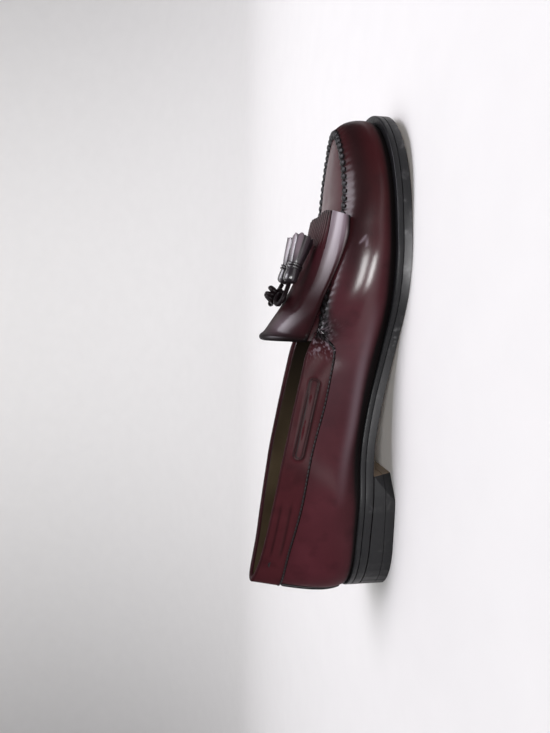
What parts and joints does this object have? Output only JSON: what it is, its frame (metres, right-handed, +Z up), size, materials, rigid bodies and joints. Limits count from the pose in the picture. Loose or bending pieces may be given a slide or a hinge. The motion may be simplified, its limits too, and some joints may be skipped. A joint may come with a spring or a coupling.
{
  "type": "kiltie tassel loafer",
  "caption": "Polished oxblood leather loafer with a fringed kiltie, a tied lace with tassels, a stitched moccasin seam, a collar band with a lace slot, and a black leather sole and stacked heel.",
  "frame": {"origin": "on the floor under the middle of the shoe's box in plan", "axes": "+X points to the toe along the shoe's length, +Y to the outer side of the foot, +Z up"},
  "size_m": [0.3054, 0.105, 0.0849],
  "materials": {
    "edge_leather": "black dressed sole edge, semi-matte, scuffed",
    "welt_leather": "black dressed welt, semi-matte",
    "heel_leather": "black dressed heel stack, semi-matte, worn at the front corner",
    "heel_rubber": "black rubber, matte",
    "insole_leather": "olive-brown lining leather, matte",
    "upper_leather": "polished oxblood leather, glossy with a fine grain",
    "band_leather": "polished oxblood leather, glossy with a fine grain",
    "stay_leather": "black leather, semi-gloss",
    "kiltie_leather": "polished oxblood leather, glossy with a fine grain",
    "lace_leather": "dark leather lace, semi-gloss",
    "tassel_leather": "dark oxblood leather strips, semi-gloss"
  },
  "bodies": {
    "root": {"outsole": "edge_leather", "welt": "welt_leather", "heel_stack": "heel_leather", "top_lift": "heel_rubber", "insole": "insole_leather", "upper": "upper_leather", "collar_band": "band_leather", "back_stay": "stay_leather", "kiltie": "kiltie_leather", "lace_in_slot_inner": "lace_leather", "lace_in_slot_outer": "lace_leather", "lace_knot": "lace_leather", "lace_end_inner": "lace_leather", "lace_end_outer": "lace_leather", "tassel_inner": "tassel_leather", "tassel_outer": "tassel_leather"}
  },
  "joints": []
}
